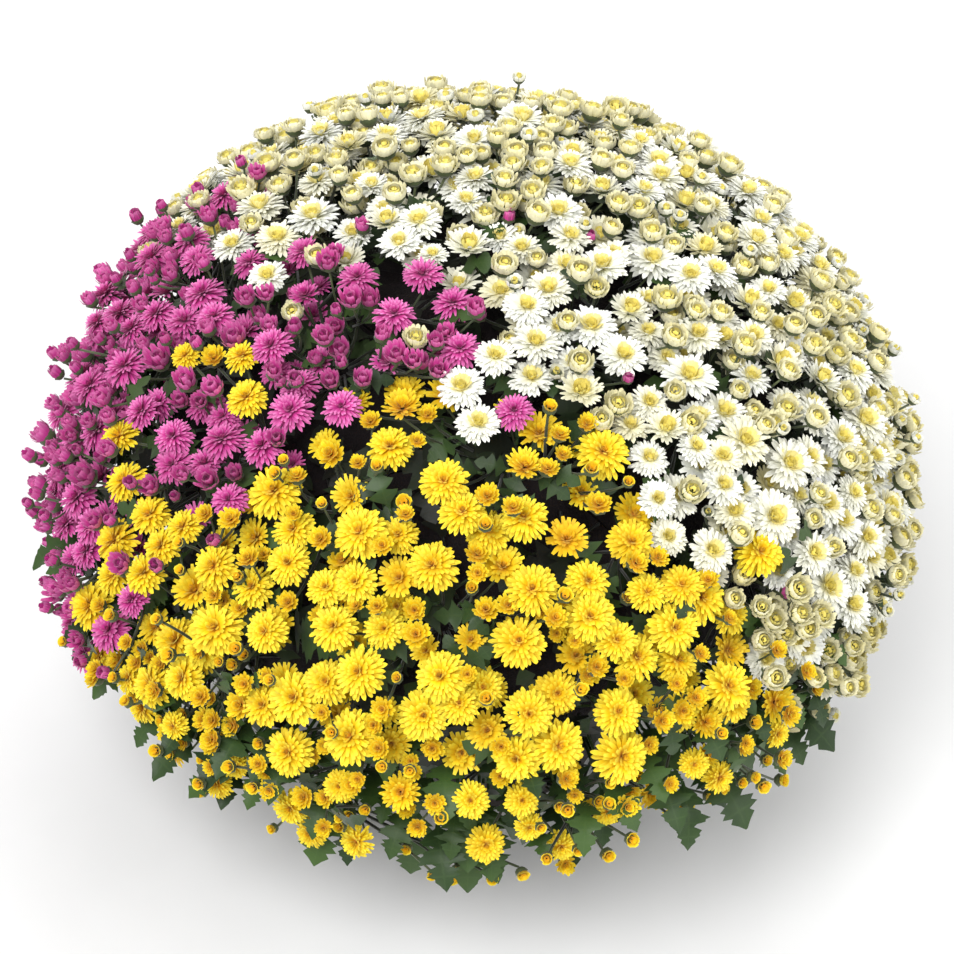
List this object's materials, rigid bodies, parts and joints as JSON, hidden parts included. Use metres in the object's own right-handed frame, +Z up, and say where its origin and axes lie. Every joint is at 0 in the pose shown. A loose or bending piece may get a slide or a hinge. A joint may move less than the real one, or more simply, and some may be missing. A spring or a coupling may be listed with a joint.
{
  "type": "pot chrysanthemum",
  "caption": "Plain nursery pot of soil with a low round dome of yellow, white and magenta double chrysanthemums over lobed dark leaves.",
  "frame": {"origin": "centre of the pot's flat underside", "axes": "+Z up, -Y towards the side the picture was taken from, +X to its right"},
  "size_m": [0.5748, 0.5738, 0.4671],
  "materials": {
    "pot": "matte dark brown moulded plastic",
    "soil": "damp dark peat and bark crumbs",
    "foliage": "dark green lobed leaves, slightly downy",
    "yellow_petals": "matte golden yellow petals with orange creases",
    "white_petals": "matte cream-white petals with yellow-green centres",
    "pink_petals": "matte magenta petals with paler edges"
  },
  "bodies": {
    "root": {"pink_foliage": "foliage", "pink_spray_01": "pink_petals", "pink_spray_02": "pink_petals", "pink_spray_03": "pink_petals", "pink_spray_04": "pink_petals", "pink_spray_05": "pink_petals", "pink_spray_06": "pink_petals", "pink_spray_07": "pink_petals", "pink_spray_08": "pink_petals", "pink_spray_09": "pink_petals", "pink_spray_10": "pink_petals", "pot": "pot", "soil": "soil", "white_foliage": "foliage", "white_spray_01": "white_petals", "white_spray_02": "white_petals", "white_spray_03": "white_petals", "white_spray_04": "white_petals", "white_spray_05": "white_petals", "white_spray_06": "white_petals", "white_spray_07": "white_petals", "white_spray_08": "white_petals", "white_spray_09": "white_petals", "white_spray_10": "white_petals", "white_spray_11": "white_petals", "white_spray_12": "white_petals", "white_spray_13": "white_petals", "white_spray_14": "white_petals", "white_spray_15": "white_petals", "white_spray_16": "white_petals", "white_spray_17": "white_petals", "white_spray_18": "white_petals", "white_spray_19": "white_petals", "white_spray_20": "white_petals", "white_spray_21": "white_petals", "white_spray_22": "white_petals", "white_spray_23": "white_petals", "white_spray_24": "white_petals", "white_spray_25": "white_petals", "white_spray_26": "white_petals", "white_spray_27": "white_petals", "white_spray_28": "white_petals", "white_spray_29": "white_petals", "white_spray_30": "white_petals", "white_spray_31": "white_petals", "yellow_foliage": "foliage", "yellow_spray_01": "yellow_petals", "yellow_spray_02": "yellow_petals", "yellow_spray_03": "yellow_petals", "yellow_spray_04": "yellow_petals", "yellow_spray_05": "yellow_petals", "yellow_spray_06": "yellow_petals", "yellow_spray_07": "yellow_petals", "yellow_spray_08": "yellow_petals", "yellow_spray_09": "yellow_petals", "yellow_spray_10": "yellow_petals", "yellow_spray_11": "yellow_petals", "yellow_spray_12": "yellow_petals", "yellow_spray_13": "yellow_petals"}
  },
  "joints": []
}
